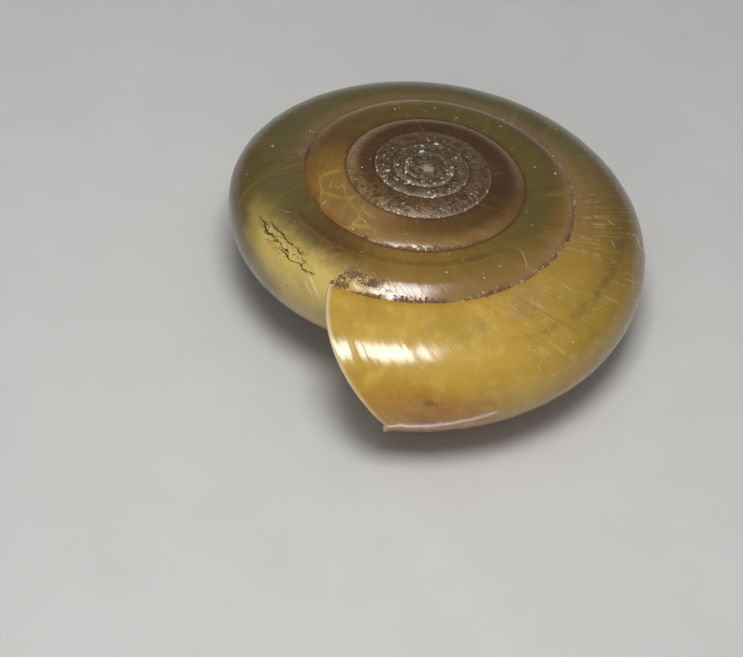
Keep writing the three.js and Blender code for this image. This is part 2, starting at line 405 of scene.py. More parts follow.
def add_outside(skin):
    """The exposed surface, from the last whorl inwards. Returns the last whorl's point numbers and points."""
    body_points, values, travelled = outside_sheet(-1, 0, COLUMNS[0], np.arange(LAST_ROW + 1))
    body_points[0, UPPER] = body_points[-1, 0]
    body_points[0, LOWER_START] = body_points[-1, -1]
    body_numbers = skin.add(body_points, **values, own_suture=travelled, next_suture=FAR)
    skin.sheet(body_numbers)
    suture_line, suture_points = body_numbers[:, 0], body_points[:, 0]
    wall_line, wall_points = body_numbers[:, -1], body_points[:, -1]
    upper_start, lower_start = body_numbers[0, :UPPER + 1], body_numbers[0, LOWER_START:]
    for level in range(1, len(COLUMNS)):
        start, end = -1 - level, -level
        points, values, travelled = outside_sheet(start, end, COLUMNS[level], np.arange(UPPER + 1))
        width = travelled[:, -1:]
        near = slice(0, UPPER)
        gap = (width - travelled)[:, near]
        numbers = skin.add(points[:, near], **part_of(values, near), own_suture=travelled[:, near], next_suture=gap)
        numbers[-1] = upper_start[:UPPER]
        edge_turn = np.linspace(start, end, len(suture_points))
        edge_width = np.interp(edge_turn, np.linspace(start, end, COLUMNS[level] + 1), width[:, 0])
        edge_growth = edge_turn + growth_lag(edge_turn, FOLLOWING_SUTURE)
        at_suture = dict(angle=math.degrees(FOLLOWING_SUTURE), across=1.0)
        edge = skin.add(suture_points, growth=edge_growth, own_suture=edge_width, **at_suture)
        edge[-1] = upper_start[UPPER]
        skin.sheet(numbers)
        skin.stitch(edge, numbers[:, -1])
        suture_line, suture_points = numbers[:, 0], points[:, 0]
        upper_start = np.append(numbers[0], edge[0])

        points, values, _ = outside_sheet(start, end, LOWER_COLUMNS[level], np.arange(LOWER_START, LAST_ROW + 1))
        beyond = slice(1, None)
        numbers = skin.add(points[:, beyond], **part_of(values, beyond), own_suture=FAR, next_suture=FAR)
        numbers[-1] = lower_start[1:]
        edge_growth = np.linspace(start, end, len(wall_points)) + LIP_LAG
        at_wall = dict(angle=math.degrees(FOLLOWING_WALL), across=2.0)
        edge = skin.add(wall_points, growth=edge_growth, own_suture=FAR, next_suture=FAR, **at_wall)
        edge[-1] = lower_start[0]
        skin.sheet(numbers)
        skin.stitch(numbers[:, 0], edge)
        wall_line, wall_points = numbers[:, -1], points[:, -1]
        lower_start = np.append(edge[0], numbers[0])
    add_cap(skin, np.concatenate([suture_line[:-1], upper_start[:0:-1]]), NUCLEUS_RISE, True)
    add_cap(skin, np.concatenate([wall_line[:-1], lower_start[:-1]]), UMBILICUS_RISE, False)
    return body_numbers, body_points


def add_cap(skin, loop, rise, flip):
    """Closes the middle of the coil with a low dome over its innermost turn."""
    rim = np.concatenate(skin.points)[loop]
    centre = rim.mean(axis=0)
    dome = dict(angle=80.0, own_suture=0.5, next_suture=0.5)
    outer_ring = loop
    for share in np.arange(1, CAP_RINGS) / CAP_RINGS:
        points = mix(rim, centre, share)
        points[:, 2] += rise * (1 - (1 - share) ** 2)
        ring = skin.add(points, growth=-len(COLUMNS) - share, **dome)
        skin.sheet(np.stack([np.append(outer_ring, outer_ring[0]), np.append(ring, ring[0])], 1), flip)
        outer_ring = ring
    top = skin.add(centre[None] + [0, 0, rise], growth=-len(COLUMNS) - 1.0, **dome)
    skin.fan(top[0], outer_ring, not flip)


def add_hollow(skin, body_numbers, body_points):
    """The inside of the tube, the covered surface that each whorl leans on, and the rounded lip."""
    column = HOLLOW_TURNS[:, None]
    row = np.linspace(0, LAST_ROW, MIDDLE_ROWS + 1)[None]
    turn = column - row_lag(column, row)
    angle = row_angle(turn, row)
    inner = smooth_point(turn, angle) - outward(turn, angle) * wall_at(column)[..., None]
    covered_row = np.arange(MIDDLE_START, MIDDLE_END + 1)[None]
    covered_turn = column - 1 - row_lag(column - 1, covered_row)
    covered_angle = row_angle(covered_turn, covered_row)
    covered = outer_point(covered_turn, covered_angle)
    covered[-1] = body_points[0, MIDDLE_START:MIDDLE_END + 1]
    inner[:, 0], inner[:, -1] = covered[:, 0], covered[:, -1]
    glaze = dict(across=1.5, own_suture=FAR, next_suture=FAR)
    fading = 1 - ease(column, GLAZE_END, 0)
    covered_numbers = skin.add(covered, growth=covered_turn, angle=np.degrees(covered_angle), inside=fading, **glaze)
    covered_numbers[-1] = body_numbers[0, MIDDLE_START:MIDDLE_END + 1]
    inner_numbers = skin.add(inner, growth=turn, angle=np.degrees(angle), inside=1.0, **glaze)
    skin.sheet(inner_numbers, True)
    skin.sheet(covered_numbers)
    loop = np.concatenate([inner_numbers[0], covered_numbers[0, -2:0:-1]])
    end_middle = np.concatenate([inner[0], covered[0]]).mean(axis=0)
    middle = skin.add(end_middle[None], growth=HOLLOW_START, inside=1.0, **glaze)
    skin.fan(middle[0], loop)

    lip_row = np.arange(LAST_ROW + 1, dtype=float)
    lip_turn = -row_lag(0.0, lip_row)
    lip_angle = row_angle(lip_turn, lip_row)
    forward = smooth_point(lip_turn + STEP, lip_angle) - smooth_point(lip_turn, lip_angle)
    forward /= np.linalg.norm(forward, axis=-1, keepdims=True)
    thickness = wall_at(np.float64(0))
    edge_points = body_points[-1] + (forward * LIP_FORWARD - outward(lip_turn, lip_angle) * LIP_INWARD) * thickness
    edge = skin.add(edge_points, angle=np.degrees(lip_angle), inside=LIP_GLAZE, **glaze)
    edge[0], edge[-1] = body_numbers[-1, 0], body_numbers[-1, -1]
    skin.stitch(body_numbers[-1], edge)
    skin.stitch(edge, inner_numbers[-1])


def lay_on_base(points):
    """Leans points or directions as the coil lies on its base."""
    lean = Matrix.Rotation(LEAN, 3, Vector((-math.sin(LEAN_AZIMUTH), math.cos(LEAN_AZIMUTH), 0)))
    return points @ np.array(lean).T


def slip_apex(points, middle):
    """Slides the worn tip of the spire forward and down. The slip dies out at APEX_REACH from its middle."""
    away = np.hypot(points[..., 0] - middle[0], points[..., 1] - middle[1])
    slip = (1 - ease(away, 0, APEX_REACH)) * ease(points[..., 2], *APEX_SLIP_HEIGHTS)
    return points + slip[..., None] * np.array(APEX_SLIP)


def make_shell():
    """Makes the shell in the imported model's place. Returns it and the coil's shift in millimetres."""
    skin = Skin()
    body_numbers, body_points = add_outside(skin)
    add_hollow(skin, body_numbers, body_points)
    everywhere = lay_on_base(np.concatenate(skin.points))
    low, high = everywhere.min(axis=0), everywhere.max(axis=0)
    cad_low, cad_high = (np.array(point) / MM for point in cad_box)
    shift = (cad_low + cad_high - low - high) / 2
    shift[2] = cad_low[2] - low[2] - WORN_FLAT
    everywhere += shift
    everywhere[:, 2] = np.maximum(everywhere[:, 2], cad_low[2])
    skin.points = [slip_apex(everywhere, shift)]
    return skin.make("shell_wall"), shift


shell, coil_shift = make_shell()

# ---------------------------------------------------------------- shader sums


def paint(red, green, blue):
    """A colour from its screen values of 0 to 255."""
    shares = (value / 255 for value in (red, green, blue))
    return (*(c / 12.92 if c <= 0.04045 else ((c + 0.055) / 1.055) ** 2.4 for c in shares), 1.0)


class Value:
    """A shader socket that adds up like a number: each operator adds one Math node."""

    def __init__(self, finish, socket):
        self.finish, self.socket = finish, socket

    def math(self, operation, *parts):
        return self.finish.node("ShaderNodeMath", {"operation": operation}, dict(enumerate(parts)))

    def __add__(self, other):
        return self.math("ADD", self, other)

    def __sub__(self, other):
        return self.math("SUBTRACT", self, other)

    def __rsub__(self, other):
        return self.math("SUBTRACT", other, self)

    def __mul__(self, other):
        return self.math("MULTIPLY", self, other)

    def __abs__(self):
        return self.math("ABSOLUTE", self)

    __radd__, __rmul__ = __add__, __mul__


class Finish:
    """One material: its shader, and the nodes that feed it."""

    def __init__(self, name, **constants):
        self.material = bpy.data.materials.new(name)
        self.material.use_nodes = True
        self.tree = self.material.node_tree
        self.shader = next(n for n in self.tree.nodes if n.type == "BSDF_PRINCIPLED")
        for label, value in constants.items():
            self.shader.inputs[label.replace("_", " ")].default_value = value

    def node(self, kind, settings=None, inputs=None, output=0):
        """Adds a node, makes its settings and then feeds its sockets. Returns one output."""
        made = self.tree.nodes.new(kind)
        for label, value in (settings or {}).items():
            if label == "stops":
                self.set_stops(made.color_ramp, value)
            else:
                setattr(made, label, value)
        for label, value in (inputs or {}).items():
            self.feed(made.inputs[label], value)
        return Value(self, made.outputs[output])

    def feed(self, socket, value):
        if isinstance(value, Value):
            self.tree.links.new(value.socket, socket)
        else:
            socket.default_value = value

    def set_stops(self, ramp, stops):
        while len(ramp.elements) < len(stops):
            ramp.elements.new(1.0)
        for element, (place, colour) in zip(ramp.elements, stops):
            element.position, element.color = place, colour

    def attribute(self, name):
        return self.node("ShaderNodeAttribute", {"attribute_name": name}, output="Fac")

    def noise(self, scale, detail, along=None):
        """Soft noise from 0 to 1, per millimetre of the object or along given coordinates."""
        place = along or self.node("ShaderNodeTexCoord", output="Object")
        factor = scale if along else scale / MM
        return self.node("ShaderNodeTexNoise", None, {"Vector": place, "Scale": factor, "Detail": detail})

    def stretch(self, x, y):
        """Coordinates that stretch a pattern along the growth lines or across them."""
        return self.node("ShaderNodeCombineXYZ", None, {0: x, 1: y})

    def cell_edges(self, along):
        """How far each place is from the nearest edge in a net of uneven cells."""
        settings, inputs = {"feature": "DISTANCE_TO_EDGE"}, {"Vector": along, "Scale": 1.0}
        return self.node("ShaderNodeTexVoronoi", settings, inputs, output="Distance")

    def rise(self, value, start, end):
        """0 before start, 1 after end, and a smooth step between; falls where end is below start."""
        if end < start:
            return 1 - self.rise(value, end, start)
        limits = {"Value": value, "From Min": start, "From Max": end}
        return self.node("ShaderNodeMapRange", {"interpolation_type": "SMOOTHSTEP"}, limits)

    def band(self, value, start, end, soft):
        """1 between start and end, with soft sides."""
        return self.rise(value, start - soft, start + soft) * self.rise(value, end + soft, end - soft)

    def ramp(self, value, stops):
        return self.node("ShaderNodeValToRGB", {"stops": stops}, {"Fac": value})

    def blend(self, share, low, high):
        settings = {"data_type": "RGBA", "clamp_factor": True}
        return self.node("ShaderNodeMix", settings, {"Factor": share, 6: low, 7: high}, output=2)

    def bump(self, height, millimetres, below=None):
        """The normal over a height, on top of an earlier bump."""
        inputs = {"Height": height, "Distance": millimetres * MM, "Strength": 1.0}
        if below:
            inputs["Normal"] = below
        return self.node("ShaderNodeBump", None, inputs)

    def finish(self, **feeds):
        for label, value in feeds.items():
            self.feed(self.shader.inputs[label.replace("_", " ")], value)
        return self.material


# ---------------------------------------------------------------- the shell's finish

HONEY = paint(184, 150, 62)
GOLD = paint(210, 180, 98)
STRAW = paint(198, 174, 96)
AMBER = paint(160, 104, 32)
RUST_AMBER = paint(158, 92, 22)
OCHRE = paint(134, 102, 42)
DARK_HONEY = paint(116, 88, 32)
OLIVE = paint(92, 78, 34)
MOSS = paint(76, 72, 34)
SEA_GREY = paint(96, 98, 68)
TAN = paint(138, 106, 62)
BROWN = paint(92, 64, 28)
UMBER = paint(68, 44, 24)
RUST = paint(112, 60, 24)
GREY_BROWN = paint(92, 72, 50)
ROSE_GREY = paint(142, 116, 92)
PEARL = paint(206, 190, 160)
BLUE_WHITE = paint(200, 210, 202)
BLUE_GREY = paint(112, 122, 116)
CREAM = paint(226, 212, 176)
DIRT = paint(84, 42, 34)
LINE_BROWN = paint(52, 38, 14)

# Each whorl's colours at growths in turns: near its own suture, and at its side. The last whorl's lighter front and
# darker back are partly its own colour and partly painted light and shade.
COLOUR_TURNS = 6.0
GROWTH_COLOURS = (
    (-6.0, GREY_BROWN, TAN),
    (-4.2, GREY_BROWN, GREY_BROWN),
    (-3.2, GREY_BROWN, GREY_BROWN),
    (-2.95, BROWN, TAN),
    (-2.7, UMBER, TAN),
    (-2.5, UMBER, GREY_BROWN),
    (-2.28, UMBER, BROWN),
    (-2.08, BROWN, TAN),
    (-1.97, TAN, TAN),
    (-1.86, OCHRE, OCHRE),
    (-1.75, BROWN, BROWN),
    (-1.6, OLIVE, TAN),
    (-1.4, OLIVE, BROWN),
    (-1.25, OLIVE, OCHRE),
    (-1.05, OCHRE, TAN),
    (-0.96, BROWN, STRAW),
    (-0.9, OLIVE, STRAW),
    (-0.84, OLIVE, OLIVE),
    (-0.45, OLIVE, OLIVE),
    (-0.3, OCHRE, DARK_HONEY),
    (-0.12, HONEY, HONEY),
    (0.0, HONEY, HONEY),
)

# The two ends of each crack beside the crust, as growths in turns and angles in degrees.
CRACKS = (
    ((-0.884, 48.8), (-0.934, 46.5)),
    ((-0.863, 41.0), (-0.915, 37.4)),
    ((-0.903, 34.8), (-0.945, 32.5)),
)
# How softly a crack's sides fade in degrees, and its ends in turns.
CRACK_EDGE = 0.7
CRACK_FADE = 0.004
# Heights of the bumps in millimetres, and the gloss of the plain shell.
STRIAE_HEIGHT = 0.004
SCRATCH_HEIGHT = 0.0015
PIT_DEPTH = 0.07
CRUST_HEIGHT = 0.02
SHELL_ROUGHNESS = 0.22
SHELL_COAT = 0.2


class ShellFinish(Finish):
    """The shell's material, the values stored on its mesh, and the masks that its colours share."""

    def __init__(self):
        super().__init__("shell_wall", IOR=1.55, Coat_Roughness=0.12, Coat_IOR=1.5, Subsurface_Weight=0.15,
                         Subsurface_Scale=0.4 * MM, Subsurface_Radius=(1.0, 0.6, 0.25))
        self.growth, self.angle, self.across, self.own, self.following, self.inside = map(self.attribute, VALUES)
        self.cloud, self.mottle, self.grain = self.noise(0.7, 3), self.noise(2.4, 3), self.noise(16, 3)
        self.drift, self.waver, self.jitter = self.cloud - 0.5, self.mottle - 0.5, self.grain - 0.5
        self.striae = self.noise(1.0, 2, self.stretch(self.growth * 620, self.angle * 0.02))
        self.below = self.rise(self.across, 1.45, 1.9)
        self.front = self.rise(self.growth, -0.26, -0.12)
        self.rough_side = self.growing(-0.36, -0.12, 0.04) * self.band(self.across, 0.1, 1.3, 0.2)
        self.crest = self.rise(self.following, 1.0, 0.3) * self.growing(-1.15, -0.96, 0.02)
        self.worn = self.rise(self.growth, -2.6, -3.0)

    def growing(self, start, end, soft):
        """1 on the stretch of the coil that grew between two turns."""
        return self.band(self.growth, start, end, soft)

    def turned(self, start, end, soft, wander=0.0):
        """1 between two angles on the outline, which may wander with the mottle."""
        angle = self.angle + self.waver * wander if wander else self.angle
        return self.band(angle, start, end, soft)

    def tint(self, share, colour):
        """Lays one more colour over the others, as far as the share says."""
        self.colour = self.blend(share, self.colour, colour)


def growth_stops(place):
    return [((row[0] + COLOUR_TURNS) / COLOUR_TURNS, row[place]) for row in GROWTH_COLOURS]


def whorl_colours(f):
    """The colours that change as the whorls grow, partly painted light and shade in the last whorl's lighter front
    and darker back, and the warmer lower side and base.
    """
    place = (f.growth + COLOUR_TURNS) * (1 / COLOUR_TURNS) + f.drift * 0.012
    # The ramps paint the last whorl's front lighter and its back darker, partly as painted light and shade.
    near, side = f.ramp(place, growth_stops(1)), f.ramp(place, growth_stops(2))
    f.colour = f.blend(f.rise(f.across + f.waver * 0.35, 0.25, 0.85), near, side)
    lower_side = f.rise(f.across + f.drift * 0.4, 1.0, 1.45) * f.growing(-1.08, -0.3, 0.1)
    f.tint(lower_side * 0.7, OCHRE)
    f.tint(f.below * 0.8, HONEY)


def front_colours(f):
    """Amber and gold behind the mouth, with rusty and pale pools, and a painted glow beside the lip."""
    low_front = f.front * f.rise(f.across, 1.05, 1.45) * (1 - f.below * 0.6)
    f.tint(low_front * 0.7, AMBER)
    f.tint(f.rise(f.mottle, 0.5, 0.7) * f.front * 0.3, GOLD)
    f.tint(f.rise(f.own, 0.3, 0.03) * f.front * 0.4, AMBER)
    pools = f.rise(f.noise(0.45, 2), 0.42, 0.6) * f.front * f.rise(f.across, 0.9, 1.3)
    f.tint(pools * 0.55, RUST_AMBER)
    # Painted glow: light through the thin wall beside the lip, laid on in rust amber.
    painted_glow = f.rise(abs(f.growth + 0.03) * 17 + abs(f.angle - 8) * 0.035 + f.waver * 1.2, 1.2, 0.2)
    f.tint(painted_glow * 0.5, RUST_AMBER)
    pale_pools = f.rise(f.noise(0.55, 2), 0.55, 0.68) * f.growing(-0.3, -0.05, 0.05)
    f.tint(pale_pools * 0.3, ROSE_GREY)


def last_whorl_bands(f):
    """The soft bands that run round the last whorl, and its dark spiral line, which is painted shade of the inner
    suture showing through the thin wall.
    """
    green_band = f.band(f.across + f.drift * 0.3, 0.45, 0.75, 0.15) * f.growing(-0.62, -0.22, 0.08)
    f.tint(green_band * 0.3, MOSS)
    # Painted shade: the inner whorl's suture showing dark through the thin wall, as a spiral line.
    inner_suture_shade = f.band(f.angle + f.drift * 12, 44, 49, 3.5) * f.growing(-0.3, -0.13, 0.05)
    f.tint(inner_suture_shade * f.rise(f.mottle, 0.35, 0.6) * 0.35, LINE_BROWN)
    sea_band = f.band(f.own + f.drift * 0.8, 0.5, 1.3, 0.35) * f.growing(-0.93, -0.3, 0.06)
    f.tint(sea_band * 0.28, SEA_GREY)
    pale_margin = f.rise(f.own + f.waver * 0.3, 0.7, 0.2) * f.growing(-0.8, -0.3, 0.1)
    f.tint(pale_margin * 0.35, ROSE_GREY)


def spire_colours(f):
    """The spire's margins and dark sutures, painted shade and light along the spiral ridge, and pale veins."""
    rose_margin = f.rise(f.following + f.waver * 0.3, 0.5, 0.1)
    rose_place = f.growing(-1.75, -1.15, 0.08) + f.growing(-2.85, -2.3, 0.08)
    f.tint(rose_margin * rose_place * 0.55, ROSE_GREY)
    rust_margin = f.rise(f.following, 0.2, 0.04) * f.growing(-1.95, -1.2, 0.06)
    f.tint(rust_margin * 0.6, RUST)
    dark_suture = f.rise(f.own, 0.14, 0.02) * f.rise(f.growth, -0.9, -1.0)
    f.tint(dark_suture * 0.7, UMBER)
    # Painted shade above the spiral ridge, in umber, and a lighter amber line on it that is partly painted light.
    ridge_light_and_shade = f.growing(-1.17, -0.9, 0.015)
    f.tint(f.turned(70.5, 75, 1.5, wander=3) * ridge_light_and_shade * 0.3, UMBER)
    f.tint(f.turned(68.6, 69.8, 0.7, wander=3) * ridge_light_and_shade * 0.3, AMBER)
    veins = f.cell_edges(f.stretch((f.growth + f.jitter * 0.01) * 17, f.angle * 0.035))
    vein_place = f.growing(-1.98, -1.83, 0.02) * f.band(f.across, 0.1, 0.95, 0.05)
    f.tint(f.rise(veins + f.waver * 0.1, 0.06, 0.0) * vein_place * 0.24, GOLD)


def apex_colours(f):
    """Dark scabs, bluish bloom partly of painted glints, pale rims, dark lines partly of painted shade at the sutures
    of the worn apex, and its pale nucleus.
    """
    scab = f.rise(f.noise(5, 4), 0.45, 0.6)
    f.tint(f.worn * scab * 0.85, UMBER)
    # Bluish-white bloom of the worn apex, partly painted glints.
    bloom_and_glints = f.rise(f.noise(9, 4) + f.rise(f.growth, -3.4, -5.4) * 0.12, 0.64, 0.74)
    f.tint(bloom_and_glints * f.rise(f.growth, -2.8, -3.2) * 0.6, BLUE_GREY)
    rim = f.rise(f.following + f.waver * 0.16, 0.12, 0.03) * f.rise(f.growth, -2.85, -3.1)
    f.tint(rim * 0.6, ROSE_GREY)
    # Dark lines beside the inner sutures, partly painted shade in their creases.
    line = f.rise(f.own + f.jitter * 0.05, 0.09, 0.02) * f.rise(f.growth, -2.4, -2.8)
    f.tint(line * 0.7, LINE_BROWN)
    nucleus = f.rise(f.growth + f.jitter * 0.8, -6.55, -6.85)
    f.tint(nucleus * 0.5, PEARL)


def growth_streaks(f):
    """Streaks along the growth lines, pale marks on the striae that are partly painted glints, olive clouds, and
    painted glints on two folds beside the crust.
    """
    streak = f.noise(1.0, 3, f.stretch(f.growth * 70, f.angle * 0.014))
    f.tint(f.rise(streak, 0.55, 0.75) * 0.1, GOLD)
    f.tint(f.rise(streak, 0.45, 0.25) * 0.18, LINE_BROWN)
    f.tint(f.rise(f.cloud, 0.45, 0.7) * 0.2, OLIVE)
    # Pale marks on the striae: partly pale growth lines, partly painted glints on their ridges.
    dashes_and_glints = f.rise(f.striae, 0.55, 0.63) * f.rise(f.noise(3.5, 2), 0.42, 0.6)
    f.tint(dashes_and_glints * (f.rough_side * 0.22 + 0.04), PEARL)
    # Painted highlights: two thin glints along folds beside the crust, in cream.
    long_fold_glint = f.growing(-0.941, -0.939, 0.001) * f.turned(8, 28, 4)
    short_fold_glint = f.growing(-0.932, -0.9305, 0.001) * f.turned(6, 18, 4)
    f.tint((short_fold_glint + long_fold_glint) * 0.7, CREAM)


def crust_colours(f):
    """Stains the two outer sutures and the patches beside them. Returns where the crust is."""
    crust = f.rise(f.following + f.waver * 0.8 + f.jitter * 0.4, 0.1, -0.05)
    crust_place = f.growing(-1.13, -0.975, 0.01) + f.growing(-2.14, -1.98, 0.02)
    patch = f.growing(-1.025, -0.985, 0.008) * f.turned(42, 55, 4) * f.rise(f.grain + f.mottle, 1.0, 1.1)
    left_spots = f.growing(-1.875, -1.86, 0.006) + f.growing(-1.775, -1.745, 0.012)
    patch = patch + left_spots * f.rise(f.following + f.waver * 0.5, 0.2, 0.05)
    crust = crust * crust_place + patch
    f.tint(crust * 0.8, DIRT)
    return crust


def crack(f, start, end):
    """A dark, broken hairline that wanders between two places on the shell."""
    slope = (end[1] - start[1]) / (end[0] - start[0])
    wander = (f.noise(3, 2) - 0.5) * 14 + (f.noise(14, 2) - 0.5) * 5
    line = (f.growth - start[0]) * slope + start[1] + wander
    width = f.noise(9, 2) * 3.2 - 1.0
    near = f.rise(abs(f.angle - line) - width, CRACK_EDGE, 0.0)
    return near * f.growing(min(start[0], end[0]), max(start[0], end[0]), CRACK_FADE)


def crack_colours(f):
    """Cracks and a net of finer ones, dark spots, and the scar at the lip. Returns the cracks."""
    net = f.cell_edges(f.stretch(f.growth * 42 + f.grain * 0.4, f.angle * 0.1 + f.mottle))
    broken = f.rise(net, 0.07, 0.02) * f.rise(f.grain, 0.45, 0.58)
    fine_cracks = broken * f.growing(-0.942, -0.87, 0.012) * f.turned(31, 50, 3) * 0.8
    cracks = sum((crack(f, start, end) for start, end in CRACKS), fine_cracks)
    f.tint(cracks * 0.75, LINE_BROWN)
    spots = f.rise(f.noise(5, 3), 0.66, 0.72) * f.growing(-0.95, -0.88, 0.02) * f.turned(15, 45, 8)
    f.tint(spots * 0.8, DIRT)
    scar = f.rise(abs(f.growth + 0.043) * 105 + abs(f.angle - 10.5) * 0.24 + (f.mottle + f.grain - 1) * 2.2, 0.9, 0.3)
    f.tint(scar * 0.55, RUST)
    return cracks


def shell_normal(f, crust, cracks):
    """Striae, fine scratches, worn pits, and crust and cracks, each bumped over the last."""
    striae = f.striae * (f.rough_side * 1.2 + 0.6 + f.crest * 1.6 + f.front * 0.9)
    waves = f.bump(striae, STRIAE_HEIGHT)
    fine = f.noise(1.0, 1, f.stretch(f.growth * 1400, f.angle * 0.03))
    scratched = f.bump(fine * (f.rough_side + 0.4), SCRATCH_HEIGHT, waves)
    pitted = f.bump(f.noise(9, 4) * f.worn, PIT_DEPTH, scratched)
    return f.bump(crust * (f.grain + 0.5) - cracks, CRUST_HEIGHT, pitted)


def shell_finish():
    f = ShellFinish()
    for lay_colours in (whorl_colours, front_colours, last_whorl_bands, spire_colours, apex_colours, growth_streaks):
        lay_colours(f)
    crust = crust_colours(f)
    cracks = crack_colours(f)
    # A pale line on the lip's edge, partly a painted highlight.
    pale_lip_and_highlight = f.rise(f.growth, -0.0035, -0.0005)
    f.tint(pale_lip_and_highlight * 0.5, CREAM)
    f.tint(f.inside * 0.75, CREAM)
    dull = f.worn * 0.12 + f.waver * 0.12 + crust * 0.4 + f.inside * 0.1 - f.crest * 0.03
    return f.finish(
        Base_Color=f.colour,
        Roughness=dull + SHELL_ROUGHNESS,
        Coat_Weight=SHELL_COAT - f.worn * 0.1,
        Normal=shell_normal(f, crust, cracks),
    )


shell.data.materials.append(shell_finish())
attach(shell, "root")
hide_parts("shell")


# ---------------------------------------------------------------- dirt, specks with painted glints, and lint on the surface


def on_shell(turn, angle):
    """Places on the finished surface in millimetres, their normals and the direction of the coil."""
    turn, angle = np.broadcast_arrays(turn, angle)
    forward = smooth_point(turn + STEP, angle) - smooth_point(turn - STEP, angle)
    forward /= np.linalg.norm(forward, axis=-1, keepdims=True)
    place = slip_apex(lay_on_base(outer_point(turn, angle)) + coil_shift, coil_shift)
    return place, lay_on_base(outward(turn, angle)), lay_on_base(forward)


# Each stretch of dirt at the next suture: from and to in turns, grains, and their spread and lift in degrees.
DIRT_STRETCHES = (
    (-1.115, -1.0, 260, 3.0, 0.0),
    (-1.045, -1.008, 90, 3.5, 13.0),
    (-1.022, -1.0, 60, 6.0, 3.0),
    (-1.876, -1.86, 26, 2.0, 1.0),
    (-1.775, -1.745, 30, 3.0, 0.0),
    (-2.15, -2.0, 220, 3.5, 0.0),
    (-1.3, -1.115, 90, 1.5, 0.0),
)
# Middle radii of the grains in millimetres.
DIRT_SIZE = 0.022
GLINT_SIZE = 0.034
BLOOM_SIZE = 0.014
RIM_BLOOM_SIZE = 0.018
CRUMB_SIZE = 0.019
# One large crumb: its turn, its angle and its radius.
LARGE_CRUMB = (-0.794, math.radians(59.5), 0.06)
# How far a grain's middle stands above the surface, as a share of its flattened radius.
GRAIN_LIFT = 0.3

LINT_COUNT = 40
FRONT_LINT = slice(0, 20)
SPIRE_LINT = slice(20, 27)
FIBRE_STEPS = 8
FIBRE_SIDES = 6
FIBRE_LIFT = 0.05


def grain_shape(detail):
    """The points and triangles of a unit ball."""
    mesh = bpy.data.meshes.new("grain_shape")
    ball = bmesh.new()
    bmesh.ops.create_icosphere(ball, subdivisions=detail, radius=1)
    ball.to_mesh(mesh)
    ball.free()
    points = np.array([v.co for v in mesh.vertices])
    faces = np.array([f.vertices for f in mesh.polygons])
    bpy.data.meshes.remove(mesh)
    return points, faces


def make_grains(name, rng, turn, angle, size, detail, flat, finish):
    """Irregular grains that sit half sunk in the surface. The size of each is its radius in millimetres."""
    shape, faces = grain_shape(detail)
    place, normal, forward = on_shell(turn, angle)
    sideways = np.cross(normal, forward)
    spin = rng.uniform(0, 2 * math.pi, len(size))[:, None]
    first = forward * np.cos(spin) + sideways * np.sin(spin)
    second = sideways * np.cos(spin) - forward * np.sin(spin)
    long_side = rng.uniform(0.8, 1.5, len(size))
    rough = rng.uniform(0.7, 1.15, (len(size), len(shape)))
    local = shape[None] * rough[..., None] * size[:, None, None]
    points = (
        place[:, None]
        + first[:, None] * local[..., :1] * long_side[:, None, None]
        + second[:, None] * local[..., 1:2]
        + normal[:, None] * (local[..., 2:] + size[:, None, None] * GRAIN_LIFT) * flat
    )
    skin = Skin()
    numbers = skin.add(points, growth=rng.random((len(size), 1)))
    skin.faces = numbers[:, faces].reshape(-1, 3).tolist()
    piece = skin.make(name)
    piece.data.materials.append(finish)
    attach(piece, "root")


def speck_finish(name, dark, light, roughness):
    """Grains of many tints between two colours, each its own."""
    f = Finish(name, IOR=1.5)
    tint = f.noise(30, 2) * 0.6 + f.attribute("growth") * 0.7 - 0.15
    colour = f.ramp(tint, [(0.0, dark), (1.0, light)])
    gritty = f.bump(f.noise(40, 2), 0.01)
    return f.finish(Base_Color=colour, Roughness=roughness + f.noise(20, 2) * 0.2, Normal=gritty)


def grain_sizes(rng, middle, spread, count):
    return np.exp(rng.normal(math.log(middle), spread, count))


def in_clumps(turn, per_turn, seed, least):
    """The turns that fall in the clumps of a noise along the suture."""
    return turn[value_noise(turn * per_turn, np.zeros(len(turn)), seed) > least]


def make_dirt():
    """Reddish crust in the front of the two outer sutures, thickest beside the mouth."""
    rng = np.random.default_rng(21)
    turns, angles = [], []
    for start, end, count, spread, lift in DIRT_STRETCHES:
        turn = in_clumps(rng.uniform(start, end, count), 160, 31, -0.15)
        turns.append(turn)
        angles.append(FOLLOWING_SUTURE + np.radians(lift + np.abs(rng.normal(0, spread, len(turn)))))
    turn, angle = np.concatenate(turns), np.concatenate(angles)
    size = grain_sizes(rng, DIRT_SIZE, 0.4, len(turn))
    make_grains("suture_dirt", rng, turn, angle, size, 2, 0.5, speck_finish("reddish_dirt", DIRT, TAN, 0.45))


